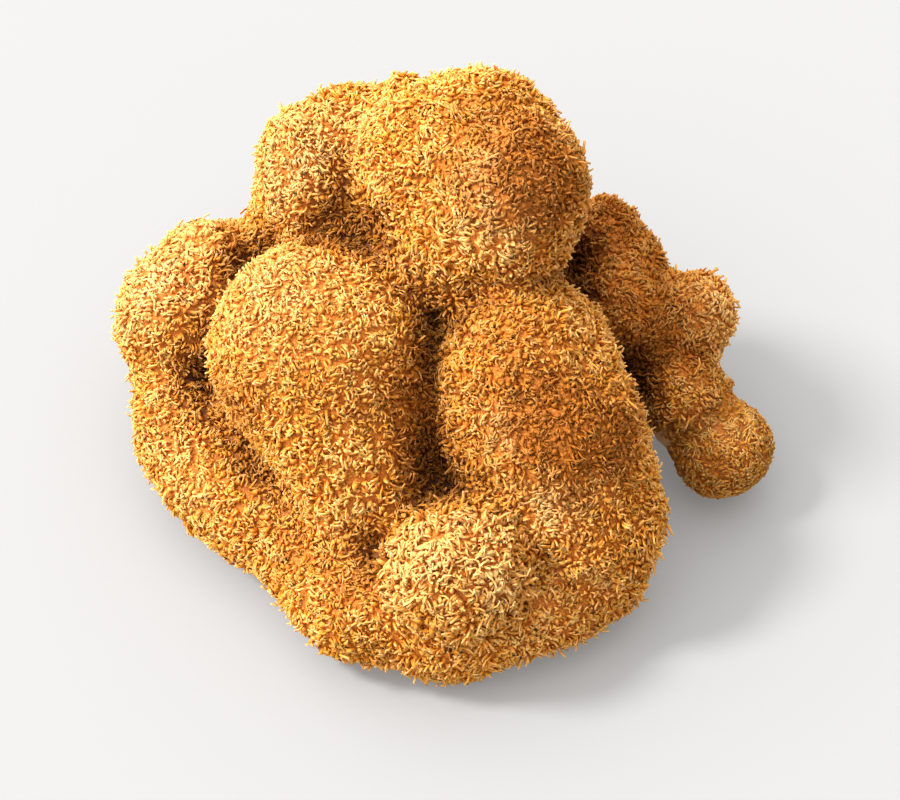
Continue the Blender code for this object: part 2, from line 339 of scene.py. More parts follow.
def add_node(
    tree: bpy.types.NodeTree,
    kind: str,
    settings: dict[str | int, object] | None = None,
    links: dict[str | int, bpy.types.NodeSocket] | None = None,
) -> bpy.types.Node:
    """Add a node to a tree, with its settings and links.

    Args:
        tree: The tree that the node goes in.
        kind: The node's type, as Blender names it.
        settings: Values by property, or by an input's name or number. "stops" sets a colour ramp.
        links: The sockets that feed the node, by the name or number of its input.

    Returns:
        The node.
    """
    made = tree.nodes.new(kind)
    for name, value in (settings or {}).items():
        if name == "stops":
            ramp = made.color_ramp
            while len(ramp.elements) < len(value):
                ramp.elements.new(0.5)
            for stop, (place, colour) in zip(ramp.elements, value):
                stop.position = place
                stop.color = colour
        elif isinstance(name, str) and hasattr(made, name):
            setattr(made, name, value)
        else:
            made.inputs[name].default_value = value
    for name, source in (links or {}).items():
        tree.links.new(source, made.inputs[name])
    return made


def new_material(name: str) -> tuple[bpy.types.Material, bpy.types.NodeTree, bpy.types.Node]:
    """Make a material with one Principled shader.

    Args:
        name: The material's name.

    Returns:
        The material, its node tree and its shader.
    """
    made = bpy.data.materials.new(name)
    made.use_nodes = True
    return made, made.node_tree, made.node_tree.nodes["Principled BSDF"]


@dataclass(frozen=True)
class SpineFinish:
    """Air-dried spines of fungus flesh: thin, tough and fibrous, golden, with paler waxy tips."""

    root: str = "#CA7622"
    middle: str = "#EEA648"
    tip: str = "#F5C284"
    toasted: str = "#90541C"
    pale: str = "#F6CE96"
    toasted_share: float = 0.8
    pale_share: float = 0.6
    darkest: float = 0.22
    lightest: float = 1.15
    fibre_mm: float = 0.22
    fibre_depth_mm: float = 0.08
    fibre_strength: float = 0.35
    roughness: float = 0.55
    gloss: float = 0.12
    glow: float = 0.5
    glow_mm: float = 0.5
    glow_reach: tuple[float, float, float] = (1.0, 0.5, 0.15)

    def material(self) -> bpy.types.Material:
        """Make the material of the spines.

        Returns:
            The material. It reads the spines' own "along", "shade", "toast" and "pale" values.
        """
        made, tree, shader = new_material("dried_spines_golden")
        place = add_node(tree, "ShaderNodeTexCoord")
        own = {
            name: add_node(tree, "ShaderNodeAttribute", {"attribute_name": name}).outputs["Fac"]
            for name in ("along", "shade", "toast", "pale")
        }
        stops = [
            (0.0, linear(self.root)),
            (0.5, linear(self.middle)),
            (1.0, linear(self.tip)),
        ]
        length = add_node(tree, "ShaderNodeValToRGB", {"stops": stops}, {"Fac": own["along"]})
        # Pale patches, where the spines dried last
        lightness = add_node(
            tree,
            "ShaderNodeMath",
            {"operation": "MULTIPLY", 1: self.pale_share},
            {0: own["pale"]},
        )
        lighter = add_node(
            tree,
            "ShaderNodeMix",
            {"data_type": "RGBA", 7: linear(self.pale)},
            {0: lightness.outputs["Value"], 6: length.outputs["Color"]},
        )
        # Toasted patches, where they dried first and went brown, and painted shade that browns the
        # creases
        brownness = add_node(
            tree,
            "ShaderNodeMath",
            {"operation": "MULTIPLY", 1: self.toasted_share},
            {0: own["toast"]},
        )
        browner = add_node(
            tree,
            "ShaderNodeMix",
            {"data_type": "RGBA", 7: linear(self.toasted)},
            {0: brownness.outputs["Value"], 6: lighter.outputs[2]},
        )
        # Each spine's value: darker by its random shade, and by painted shade in the creases and on the
        # felted ball
        value = add_node(
            tree,
            "ShaderNodeMapRange",
            {"From Min": -1.0, "To Min": self.darkest, "To Max": self.lightest},
            {"Value": own["shade"]},
        )
        tinted = add_node(
            tree,
            "ShaderNodeHueSaturation",
            links={"Value": value.outputs["Result"], "Color": browner.outputs[2]},
        )
        tree.links.new(tinted.outputs["Color"], shader.inputs["Base Color"])
        fibres = add_node(
            tree,
            "ShaderNodeTexNoise",
            {"Scale": 1.0 / (self.fibre_mm * MM), "Detail": 2.0},
            {"Vector": place.outputs["Object"]},
        )
        bump = add_node(
            tree,
            "ShaderNodeBump",
            {"Strength": self.fibre_strength, "Distance": self.fibre_depth_mm * MM},
            {"Height": fibres.outputs["Fac"]},
        )
        tree.links.new(bump.outputs["Normal"], shader.inputs["Normal"])
        shader.inputs["Roughness"].default_value = self.roughness
        shader.inputs["Specular IOR Level"].default_value = self.gloss
        shader.inputs["Subsurface Weight"].default_value = self.glow
        shader.inputs["Subsurface Radius"].default_value = self.glow_reach
        shader.inputs["Subsurface Scale"].default_value = self.glow_mm * MM
        return made


@dataclass(frozen=True)
class FleshFinish:
    """Air-dried flesh of the same fungus: matt and leathery, dark below the spines, with painted shade
    in the creases, pale where bare.
    """

    under: str = "#A25C18"
    under_light: str = "#CC842E"
    # Painted shade: the flesh's colour down in the creases
    crease: str = "#3C1906"
    bare: str = "#C9A06B"
    bare_light: str = "#DDBE93"
    mottle_mm: float = 2.4
    stub_mm: float = 0.6
    stub_edge: tuple[float, float] = (0.02, 0.3)
    mottle_edge: tuple[float, float] = (0.3, 0.7)
    grain_mm: float = 0.5
    grain_depth_mm: float = 0.2
    grain_strength: float = 0.6
    roughness: float = 0.78

    def material(self) -> bpy.types.Material:
        """Make the material of the flesh.

        Returns:
            The material. It reads the flesh's own "bare" and "open" values.
        """
        made, tree, shader = new_material("dried_flesh_leathery")
        place = add_node(tree, "ShaderNodeTexCoord")
        bare = add_node(tree, "ShaderNodeAttribute", {"attribute_name": "bare"})
        mottle = add_node(
            tree,
            "ShaderNodeTexNoise",
            {"Scale": 1.0 / (self.mottle_mm * MM), "Detail": 5.0, "Roughness": 0.65},
            {"Vector": place.outputs["Object"]},
        )
        stubs = add_node(
            tree,
            "ShaderNodeTexVoronoi",
            {"feature": "DISTANCE_TO_EDGE", "Scale": 1.0 / (self.stub_mm * MM)},
            {"Vector": place.outputs["Object"]},
        )
        stops = list(zip(self.stub_edge, (linear(self.under), linear(self.under_light))))
        under = add_node(
            tree, "ShaderNodeValToRGB", {"stops": stops}, {"Fac": stubs.outputs["Distance"]}
        )
        stops = list(zip(self.mottle_edge, (linear(self.bare), linear(self.bare_light))))
        pale = add_node(
            tree, "ShaderNodeValToRGB", {"stops": stops}, {"Fac": mottle.outputs["Fac"]}
        )
        # Painted shade: darker and browner down in the creases, by how open the skin lies
        free = add_node(tree, "ShaderNodeAttribute", {"attribute_name": "open"})
        browner = add_node(
            tree,
            "ShaderNodeMix",
            {"data_type": "RGBA", 6: linear(self.crease)},
            {0: free.outputs["Fac"], 7: under.outputs["Color"]},
        )
        both = add_node(
            tree,
            "ShaderNodeMix",
            {"data_type": "RGBA"},
            {0: bare.outputs["Fac"], 6: browner.outputs[2], 7: pale.outputs["Color"]},
        )
        tree.links.new(both.outputs[2], shader.inputs["Base Color"])
        grain = add_node(
            tree,
            "ShaderNodeTexNoise",
            {"Scale": 1.0 / (self.grain_mm * MM), "Detail": 4.0, "Roughness": 0.6},
            {"Vector": place.outputs["Object"]},
        )
        bump = add_node(
            tree,
            "ShaderNodeBump",
            {"Strength": self.grain_strength, "Distance": self.grain_depth_mm * MM},
            {"Height": grain.outputs["Fac"]},
        )
        tree.links.new(bump.outputs["Normal"], shader.inputs["Normal"])
        shader.inputs["Roughness"].default_value = self.roughness
        return made


@dataclass(frozen=True)
class FloorFinish:
    """A light table's matt white sheet, plain and even, which glows a little and so softens shadows."""

    colour: str = "#888888"
    glow: float = 0.15
    roughness: float = 0.9

    def material(self) -> bpy.types.Material:
        """Make the floor's material.

        Returns:
            The material.
        """
        made, _, shader = new_material("floor_matt_pale")
        shader.inputs["Base Color"].default_value = linear(self.colour)
        shader.inputs["Emission Color"].default_value = linear("#FFFFFF")
        shader.inputs["Emission Strength"].default_value = self.glow
        shader.inputs["Roughness"].default_value = self.roughness
        return made


def nearest_lobes(places: Array) -> Array:
    """Find the lobe that each place is nearest to, measured in that lobe's own half widths.

    Args:
        places: Points in millimetres, in the frame of the table of lobes.

    Returns:
        The number of each point's lobe.
    """
    middles = np.array([lobe.middle for lobe in LOBES])
    halves = np.array([lobe.half for lobe in LOBES])
    best = np.full(len(places), np.inf)
    found = np.zeros(len(places), int)
    for at, (middle, half) in enumerate(zip(middles, halves)):
        depth = np.linalg.norm((places - middle) / half, axis=1)
        nearer = depth < best
        best[nearer] = depth[nearer]
        found[nearer] = at
    return found


def set_values(mesh: bpy.types.Mesh, name: str, values: Array) -> None:
    """Store one number for each point of a mesh, for its material to read."""
    mesh.attributes.new(name, "FLOAT", "POINT").data.foreach_set("value", values.astype(np.float32))


@dataclass
class Flesh:
    """The flesh of the body: lobes run together, made lumpy and cut flat below."""

    stand_out_mm: float = 0.85
    fineness_mm: float = 1.7
    even_out_steps: int = 2
    lump_height_mm: float = 0.9
    lump_spacing_mm: float = 11.0
    flat: float = 0.999
    cut_depth_mm: float = 0.05
    finish: FleshFinish = FleshFinish()

    def run_together(self) -> bmesh.types.BMesh:
        """Join all the lobes into one closed skin.

        Returns:
            The skin, in metres, in the frame of the table of lobes.
        """
        shape = bmesh.new()
        for lobe in LOBES:
            grown = 0.0 if lobe.coat in (CoatKind.BARE, CoatKind.FELTED) else self.stand_out_mm
            half = Vector([size + grown for size in lobe.half])
            place = Matrix.LocRotScale(Vector(lobe.middle) * MM, None, half * MM)
            bmesh.ops.create_icosphere(shape, subdivisions=4, radius=1.0, matrix=place)
        mesh = bpy.data.meshes.new("lobes")
        shape.to_mesh(mesh)
        shape.free()
        lobes = bpy.data.objects.new("lobes", mesh)
        bpy.context.scene.collection.objects.link(lobes)
        merge = lobes.modifiers.new("run together", "REMESH")
        merge.mode = "VOXEL"
        merge.voxel_size = self.fineness_mm * MM
        even = lobes.modifiers.new("even out", "SMOOTH")
        even.factor = 0.5
        even.iterations = self.even_out_steps
        shape = bmesh.new()
        shape.from_object(lobes, bpy.context.evaluated_depsgraph_get())
        bpy.data.objects.remove(lobes)
        bpy.data.meshes.remove(mesh)
        return shape

    def add_lumps(self, shape: bmesh.types.BMesh) -> None:
        """Push the skin in and out by the small lumps in a lobe's surface."""
        shape.normal_update()
        moves = [
            point.normal * noise.noise(point.co / (self.lump_spacing_mm * MM))
            for point in shape.verts
        ]
        for point, move in zip(shape.verts, moves):
            point.co += move * self.lump_height_mm * MM

    def cut_foot(self, shape: bmesh.types.BMesh) -> None:
        """Cut the body flat where it grew from its wood, and close the cut."""
        everything = shape.verts[:] + shape.edges[:] + shape.faces[:]
        bmesh.ops.bisect_plane(
            shape, geom=everything, plane_co=(0, 0, 0), plane_no=(0, 0, 1), clear_inner=True
        )
        rim = [edge for edge in shape.edges if edge.is_boundary]
        cut = bmesh.ops.holes_fill(shape, edges=rim, sides=0)["faces"]
        bmesh.ops.triangulate(shape, faces=cut)
        bmesh.ops.recalc_face_normals(shape, faces=shape.faces[:])

    def build(self) -> bpy.types.Object:
        """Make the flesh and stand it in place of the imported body.

        Returns:
            The flesh.
        """
        shape = self.run_together()
        self.add_lumps(shape)
        self.cut_foot(shape)
        for face in shape.faces:
            face.smooth = face.normal.z > -self.flat
        mesh = bpy.data.meshes.new("flesh")
        shape.to_mesh(mesh)
        shape.free()
        count = len(mesh.vertices)
        places = np.empty(count * 3)
        mesh.vertices.foreach_get("co", places)
        places = places.reshape(-1, 3) / MM
        kinds = np.array([LOBES[at].coat is CoatKind.BARE for at in nearest_lobes(places)], float)
        cut = places[:, 2] < self.cut_depth_mm
        set_values(mesh, "bare", np.maximum(kinds, cut))
        mesh.materials.append(self.finish.material())
        made = bpy.data.objects.new("flesh", mesh)
        bpy.context.scene.collection.objects.link(made)
        return made


def ways_up(count: int) -> Array:
    """Spread directions evenly over the upper half of a ball."""
    turn = np.arange(count) * math.pi * (3.0 - math.sqrt(5.0))
    height = (np.arange(count) + 0.5) / count
    level = np.sqrt(1.0 - height**2)
    return np.stack([np.cos(turn) * level, np.sin(turn) * level, height], axis=1)


def openness(mesh: bpy.types.Mesh, reach_mm: float = 14.0, ways: int = 22) -> Array:
    """Measure how open the skin lies at each of its points: low in the creases between lobes.

    Args:
        mesh: The flesh, in metres.
        reach_mm: How near another part of the skin has to be to shelter a point.
        ways: The number of directions that are looked in from each point.

    Returns:
        The share of those directions in which nothing is near, for each point.
    """
    shape = bmesh.new()
    shape.from_mesh(mesh)
    tree = BVHTree.FromBMesh(shape)
    shape.free()
    around = [Vector(way) for way in ways_up(ways)]
    found = np.empty(len(mesh.vertices))
    for at, point in enumerate(mesh.vertices):
        turn = Vector((0.0, 0.0, 1.0)).rotation_difference(point.normal)
        start = point.co + point.normal * MM
        free = sum(
            1 for way in around if tree.ray_cast(start, turn @ way, reach_mm * MM)[0] is None
        )
        found[at] = free / ways
    return found


@dataclass
class Skin:
    """The flesh's triangles as the spines need them, with a normal and openness for each corner."""

    corners: Array
    normals: Array
    areas: Array
    open: Array

    @classmethod
    def of(cls, flesh: bpy.types.Object) -> "Skin":
        """Read the skin of the flesh, and store how open it lies for its material.

        Args:
            flesh: The flesh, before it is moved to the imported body's frame.

        Returns:
            Its triangles, in millimetres.
        """
        mesh = flesh.data
        mesh.calc_loop_triangles()
        points = np.empty(len(mesh.vertices) * 3)
        mesh.vertices.foreach_get("co", points)
        points = points.reshape(-1, 3) / MM
        normals = np.empty(len(mesh.vertices) * 3)
        mesh.vertices.foreach_get("normal", normals)
        normals = normals.reshape(-1, 3)
        sides = np.empty(len(mesh.loop_triangles) * 3, int)
        mesh.loop_triangles.foreach_get("vertices", sides)
        sides = sides.reshape(-1, 3)
        corners = points[sides]
        across = np.cross(corners[:, 1] - corners[:, 0], corners[:, 2] - corners[:, 0])
        areas = np.linalg.norm(across, axis=1) / 2.0
        free = openness(mesh)
        # Painted shade: the flesh is darker in the creases, and darker still below spines that lie
        # felted
        felted = [LOBES[at].coat is CoatKind.FELTED for at in nearest_lobes(points)]
        span = LIGHT_FLESH_OPEN - DARK_FLESH_OPEN
        light = np.clip((free - DARK_FLESH_OPEN) / span, 0.0, 1.0)
        set_values(mesh, "open", np.where(felted, light * FELTED_LIGHT, light))
        return cls(corners, normals[sides], areas, free[sides])


def smooth_step(parts: Array) -> Array:
    """Ease from 0 to 1, with no change of pace at either end."""
    held = np.clip(parts, 0.0, 1.0)
    return held * held * (3.0 - 2.0 * held)


def unit(vectors: Array) -> Array:
    """Scale each vector to a length of one."""
    return vectors / np.maximum(np.linalg.norm(vectors, axis=-1, keepdims=True), 1e-9)


def tree_of(places: Array) -> KDTree:
    """Put places in a tree that finds the nearest ones fast."""
    tree = KDTree(len(places))
    for at, place in enumerate(places):
        tree.insert(place, at)
    tree.balance()
    return tree


def spread_out(places: Array, spacing: Array) -> list[int]:
    """Keep only places that lie apart from one another.

    Args:
        places: Points in millimetres.
        spacing: How far from each the next one may be, or nothing where none is kept.

    Returns:
        The numbers of the places that are kept.
    """
    tree = tree_of(places)
    open_still = spacing > 0
    kept = []
    for at in range(len(places)):
        if open_still[at]:
            kept.append(at)
            for _, other, _ in tree.find_range(places[at], spacing[at]):
                open_still[other] = False
    return kept


@dataclass
class Roots:
    """Where spines grow: one row for each, with the skin's normal there, its lobe and openness."""

    places: Array
    normals: Array
    lobes: Array
    open: Array

    def values(self, name: str) -> Array:
        """Read one of the sizes of the coat that each spine belongs to."""
        return np.array([getattr(COATS[lobe.coat], name) for lobe in LOBES])[self.lobes]


@dataclass
class Tufts:
    """The tufts that neighbouring spines gather in: one row for each tuft."""

    tree: KDTree
    hubs: Array
    way: Array
    burst: Array
    bend: Array
    swirl: Array
    stretch: Array
    shade: Array


@dataclass
class SpineCoat:
    """The spines of the whole body: where they grow, how they lean and curl, and their meshes."""

    flesh: bpy.types.Object
    candidates_per_mm2: float = 20.0
    tuft_spacing_mm: float = 1.35
    field_mm: float = 1.6
    burst_share: float = 0.15
    meet_mm: float = 2.2
    hub_mm: float = 0.05
    upright_mm: float = 0.5
    closed_share: float = 0.14
    foot_clear_mm: float = 0.6
    lowest_mm: float = 0.15
    sunk_mm: float = 0.15
    edge_blur_mm: float = 0.5
    downward: float = -0.3
    downward_spacing: float = 1.25
    tuft_way: float = 0.25
    own_way: float = 0.3
    tuft_bend: float = 17.0
    own_bend: float = 11.0
    tuft_swirl: tuple[float, float] = (0.5, 1.2)
    own_swirl: float = 0.5
    tuft_length: tuple[float, float] = (0.84, 1.16)
    own_length: tuple[float, float] = (0.8, 1.15)
    own_thickness: tuple[float, float] = (0.85, 1.12)
    own_rise: tuple[float, float] = (-10.0, 11.0)
    bent: tuple[float, float] = (0.34, 0.68)
    stray_share: float = 0.05
    stray_length: float = 1.2
    burst_length: float = 0.85
    burst_fall: float = 0.75
    inner_fall: float = 0.4
    burst_swirl: float = 0.5
    turn_from: float = 0.2
    turn_middle: float = 0.55
    floor_gap_mm: float = 0.35
    least_room: float = 0.25
    shades: tuple[float, float, float] = (0.22, 0.3, 0.3)
    # How open the skin lies where painted crease shade is full and where it ends
    sheltered_open: tuple[float, float] = (0.33, 0.78)
    broad_mm: float = 15.0
    small_mm: float = 4.5
    broad_tone: float = 0.35
    small_tone: float = 0.4
    # How much browner painted crease shade makes the spines
    crease_shade_brown: float = 0.6
    short_tip: float = 0.15
    finish: SpineFinish = SpineFinish()

    def __post_init__(self) -> None:
        """Read the skin and start the row of chances."""
        self.skin = Skin.of(self.flesh)
        self.chance = np.random.default_rng(SEED)
        # Without a seed, Blender's noise of three values starts from the clock
        noise.seed_set(SEED)

    def scatter(self, layer: Layer) -> Roots:
        """Choose where a layer's spines grow: evenly spread, closer on some lobes than on others.

        Args:
            layer: The layer.

        Returns:
            The roots.
        """
        skin = self.skin
        count = int(skin.areas.sum() * self.candidates_per_mm2)
        picked = self.chance.choice(len(skin.areas), count, p=skin.areas / skin.areas.sum())
        first = np.sqrt(self.chance.random((count, 1)))
        second = self.chance.random((count, 1))
        weights = np.hstack([1 - first, first * (1 - second), first * second])
        places = np.einsum("nk,nkd->nd", weights, skin.corners[picked])
        normals = unit(np.einsum("nk,nkd->nd", weights, skin.normals[picked]))
        lobes = nearest_lobes(places + self.chance.normal(0.0, self.edge_blur_mm, places.shape))
        free = np.einsum("nk,nk->n", weights, skin.open[picked])
        roots = Roots(places, normals, lobes, free)
        spacing = roots.values("spacing") * layer.spacing
        # Nothing is seen of the deepest creases, where the coats of two lobes close over them
        spacing = np.where(free > self.closed_share, spacing, 0.0)
        # The underside is seen less and pressed flat, so its spines stand further apart
        apart = spacing * self.downward_spacing
        spacing = np.where(normals[:, 2] < self.downward, apart, spacing)
        spacing = np.where(places[:, 2] > self.foot_clear_mm, spacing, 0.0)
        kept = spread_out(places, spacing)
        return Roots(places[kept], normals[kept], lobes[kept], free[kept])

    def gather(self, places: Array) -> Tufts:
        """Gather the spines in tufts that lean and curl alike.

        Args:
            places: Where the spines of the upper layer grow, in millimetres.

        Returns:
            The tufts.
        """
        hubs = places[spread_out(places, np.full(len(places), self.tuft_spacing_mm))]
        count = len(hubs)
        spots = hubs / self.field_mm + NOISE_APART[0]
        way = np.array([noise.noise_vector(Vector(spot)) for spot in spots])
        return Tufts(
            tree=tree_of(hubs),
            hubs=hubs,
            way=way + self.chance.normal(0.0, self.tuft_way, way.shape),
            burst=self.chance.random(count) < self.burst_share,
            bend=self.chance.normal(0.0, self.tuft_bend, count),
            swirl=self.chance.choice((-1.0, 1.0), count)
            * self.chance.uniform(*self.tuft_swirl, count),
            stretch=self.chance.uniform(*self.tuft_length, count),
            shade=self.chance.random(count),
        )

    def lean(self, roots: Roots, tufts: Tufts, mine: Array) -> Array:
        """Choose the way in which each spine leans: with its tuft, or out from its middle.

        Args:
            roots: Where the spines grow.
            tufts: The tufts.
            mine: The number of each spine's tuft.

        Returns:
            The directions, along the skin.
        """
        normals = roots.normals
        way = tufts.way[mine]
        ahead = unit(way - normals * np.einsum("nd,nd->n", way, normals)[:, None])
        way = unit(tufts.hubs[mine] + ahead * self.meet_mm - roots.places)
        out = unit(roots.places - tufts.hubs[mine] + ahead * self.hub_mm)
        way = np.where(tufts.burst[mine][:, None], out, way)
        way += self.chance.normal(0.0, self.own_way, way.shape)
        way -= normals * np.einsum("nd,nd->n", way, normals)[:, None]
        return unit(way)

    def grow(self, roots: Roots, tufts: Tufts, layer: Layer) -> tuple[Array, Array, Array]:
        """Work out each spine's line from its root to its tip.

        Args:
            roots: Where the spines grow.
            tufts: The tufts that they gather in.
            layer: The layer that they belong to.

        Returns:
            The points on each spine's line, its thickness, and its own shade from 0 to 1.
        """
        count = len(roots.places)
        mine = np.array([tufts.tree.find(place)[1] for place in roots.places])
        tufted = roots.values("tufted")
        burst = tufts.burst[mine] & tufted
        normals = roots.normals
        way = self.lean(roots, tufts, mine)
        side = np.cross(normals, way)
        length = roots.values("length") * layer.length * tufts.stretch[mine]
        length = length * self.chance.uniform(*self.own_length, count)
        stray = self.chance.random(count) < self.stray_share
        length = np.where(burst & ~stray, length * self.burst_length, length)
        length = np.where(stray, length * self.stray_length, length)
        rise = roots.values("rise") + self.chance.uniform(*self.own_rise, count)
        uneven = tufts.bend[mine] + self.chance.normal(0.0, self.own_bend, count)
        fall = roots.values("fall") + uneven * roots.values("unrest")
        fall = np.where(burst | (stray & tufted), fall * self.burst_fall, fall)
        inner = np.linalg.norm(roots.places - tufts.hubs[mine], axis=1) < self.upright_mm
        fall = np.where(burst & inner, fall * self.inner_fall, fall) * layer.fall
        own_swirl = self.chance.normal(0.0, self.own_swirl, count)
        swirl = roots.values("swirl") * (tufts.swirl[mine] + own_swirl)
        swirl = np.where(burst, swirl * self.burst_swirl, swirl)
        bent = self.chance.uniform(*self.bent, count)
        line = [roots.places - normals * self.sunk_mm]
        for step in range(LINE_STEPS):
            part = (step + 0.5) / LINE_STEPS
            lean = np.radians(rise + (fall - rise) * smooth_step(part / bent))[:, None]
            turn = np.radians(swirl * (max(part, self.turn_from) - self.turn_middle))[:, None]
            along_skin = np.cos(turn) * way + np.sin(turn) * side
            heading = np.cos(lean) * normals + np.sin(lean) * along_skin
            line.append(line[-1] + heading * (length / LINE_STEPS)[:, None])
        points = self.above_floor(np.stack(line, axis=1), roots.places[:, 2])
        own_thickness = self.chance.uniform(*self.own_thickness, count)
        thick = roots.values("thickness") * layer.thickness * own_thickness
        least, by_tuft, by_spine = self.shades
        shade = least + by_tuft * tufts.shade[mine] + by_spine * self.chance.random(count)
        # The coat's tone adds painted shadow to the spines of the felted ball
        return points, thick, shade + roots.values("tone")

    def above_floor(self, points: Array, heights: Array) -> Array:
        """Draw in the spines that would reach through the floor.

        Args:
            points: The points on each spine's line.
            heights: How high each spine's root is.

        Returns:
            The points, moved towards their root where there is too little room below it.
        """
        lowest = points[..., 2].min(axis=1)
        reach = np.maximum(heights - lowest, 1e-6)
        room = np.clip((heights - self.floor_gap_mm) / reach, self.least_room, 1.0)
        room = np.where(lowest < self.floor_gap_mm, room, 1.0)[:, None, None]
        return points[:, :1] + (points - points[:, :1]) * room

    def shelter(self, roots: Roots) -> Array:
        """Say how sheltered each spine grows, which sets its painted crease shade: 0 on a lobe's open
        side, 1 down in a crease.
        """
        least, most = self.sheltered_open
        return np.clip((most - roots.open) / (most - least), 0.0, 1.0)

    def tones(self, roots: Roots) -> tuple[Array, Array]:
        """Say how brown and how pale each spine is from drying, and from painted crease shade, which
        makes it browner and less pale.

        Args:
            roots: Where the spines grow.

        Returns:
            A share from 0 to 1 of each tone, for each spine.
        """
        places = roots.places
        base = np.zeros(len(places))
        sizes = (self.broad_mm, self.broad_tone), (self.small_mm, self.small_tone)
        for (size, amount), apart in zip(sizes, NOISE_APART[1:]):
            spots = places / size + apart
            base += amount * np.array([noise.noise(Vector(spot)) for spot in spots])
        tones = []
        for marks, grain in ((TOASTED_AND_CREASE_SHADE, base), (PALE_AND_PAINTED_LIGHT, -base)):
            tone = grain
            for mark in marks:
                apart = np.linalg.norm(places - np.array(mark.middle), axis=1) / mark.reach
                tone = tone + mark.amount * np.exp(-(apart**2))
            tones.append(tone)
        # Painted shade: spines down in the creases are browner and less pale
        shelter = self.shelter(roots)
        brown = np.clip(tones[0] + self.crease_shade_brown * shelter, 0.0, 1.0)
        return brown, np.clip(tones[1] - shelter, 0.0, 1.0)

    def shape_of(self, points: Array, thick: Array, layer: Layer) -> tuple[Array, list[list[int]]]:
        """Work out the corners and faces of closed three-sided spines.

        Args:
            points: The points on each spine's line, in millimetres.
            thick: The thickness of each.
            layer: The layer that they belong to.

        Returns:
            The corners of each spine, and the faces of one as numbers of its corners.
        """
        count, rings = len(points), len(layer.widths)
        at = np.round(np.array(layer.parts) * (points.shape[1] - 1)).astype(int)
        heading = unit(np.gradient(points, axis=1))[:, at]
        points = points[:, at]
        plane = unit(np.cross(heading[:, 0], heading[:, -2]))[:, None, :]
        across = unit(plane - heading * np.sum(plane * heading, axis=2, keepdims=True))
        up = np.cross(heading, across)
        spin = self.chance.random((count, 1)) * math.tau
        corners = []
        for ring, width in enumerate(layer.widths):
            for corner in range(3):
                angle = spin + math.tau * corner / 3.0
                offset = np.cos(angle) * across[:, ring] + np.sin(angle) * up[:, ring]
                corners.append(points[:, ring] + offset * (thick * width / 2.0)[:, None])
        corners.append(points[:, -1])
        made = np.stack(corners, axis=1)
        made[..., 2] = np.maximum(made[..., 2], self.lowest_mm)
        last = 3 * (rings - 1)
        faces = [
            [low + k, low + (k + 1) % 3, low + 3 + (k + 1) % 3, low + 3 + k]
            for low in range(0, last, 3)
            for k in range(3)
        ]
        faces += [[last + k, last + (k + 1) % 3, 3 * rings] for k in range(3)] + [[2, 1, 0]]
        return made, faces

    def layer_of(self, tufts: Tufts, roots: Roots, layer: Layer) -> dict[Region, list[Array]]:
        """Grow one layer of spines, sorted by the part of the body that they grow on.

        Args:
            tufts: The tufts that they gather in.
            roots: Where they grow.
            layer: The layer.

        Returns:
            For each part of the body: corners, the sizes of faces, the faces' corners, and the
            values along each spine, of its shade and of its brown and pale tones.
        """
        points, thick, shade = self.grow(roots, tufts, layer)
        toast, pale = self.tones(roots)
        # Painted shade: spines down in the creases are darker
        shade = shade - self.shelter(roots)
        shape, faces = self.shape_of(points, thick, layer)
        size = shape.shape[1]
        one = np.array([corner for face in faces for corner in face])
        tip = min(1.0, layer.length + self.short_tip)
        along = np.append(np.repeat(layer.parts[:-1], 3), 1.0) * tip
        regions = np.array([LOBES[at].region.value for at in roots.lobes])
        made = {}
        for region in Region:
            here = regions == region.value
            count = here.sum()
            made[region] = [
                shape[here].reshape(-1, 3),
                np.tile([len(face) for face in faces], count),
                (one[None, :] + (np.arange(count) * size)[:, None]).ravel(),
                np.tile(along, count),
                np.repeat(shade[here], size),
                np.repeat(toast[here], size),
                np.repeat(pale[here], size),
            ]
        LOG.info("%d spines of %d corners", len(roots.places), size)
        return made

    def mesh_of(self, name: str, layers: list[list[Array]]) -> bpy.types.Mesh:
        """Make one mesh of the spines of all layers on one part of the body.

        Args:
            name: The mesh's name.
            layers: What layer_of returns for this part, for each layer.

        Returns:
            The mesh.
        """
        firsts = np.cumsum([0] + [len(layer[0]) for layer in layers[:-1]])
        corners = np.concatenate([layer[2] + first for layer, first in zip(layers, firsts)])
        joined = [np.concatenate(rows) for rows in zip(*layers)]
        verts, totals, _, along, shade, toast, pale = joined
        mesh = bpy.data.meshes.new(name)
        mesh.vertices.add(len(verts))
        mesh.vertices.foreach_set("co", (verts * MM).astype(np.float32).ravel())
        mesh.loops.add(len(corners))
        mesh.loops.foreach_set("vertex_index", corners.astype(np.int32))
        mesh.polygons.add(len(totals))
        starts = np.concatenate([[0], np.cumsum(totals)[:-1]])
        mesh.polygons.foreach_set("loop_start", starts.astype(np.int32))
        mesh.polygons.foreach_set("use_smooth", np.ones(len(totals), bool))
        mesh.update(calc_edges=True)
        set_values(mesh, "along", along)
        set_values(mesh, "shade", shade)
        set_values(mesh, "toast", toast)
        set_values(mesh, "pale", pale)
        return mesh

    def build(self) -> list[bpy.types.Object]:
        """Grow all the spines and make a mesh of those on each part of the body.

        Returns:
            The meshes' objects.
        """
        upper = self.scatter(UPPER)
        tufts = self.gather(upper.places)
        layers = [
            self.layer_of(tufts, upper, UPPER),
            self.layer_of(tufts, self.scatter(UNDER), UNDER),
        ]
        material = self.finish.material()
        made = []
        for region in Region:
            name = f"spines_{region.value}"
            mesh = self.mesh_of(name, [layer[region] for layer in layers])
            mesh.materials.append(material)
            piece = bpy.data.objects.new(name, mesh)
            bpy.context.scene.collection.objects.link(piece)
            made.append(piece)
        return made


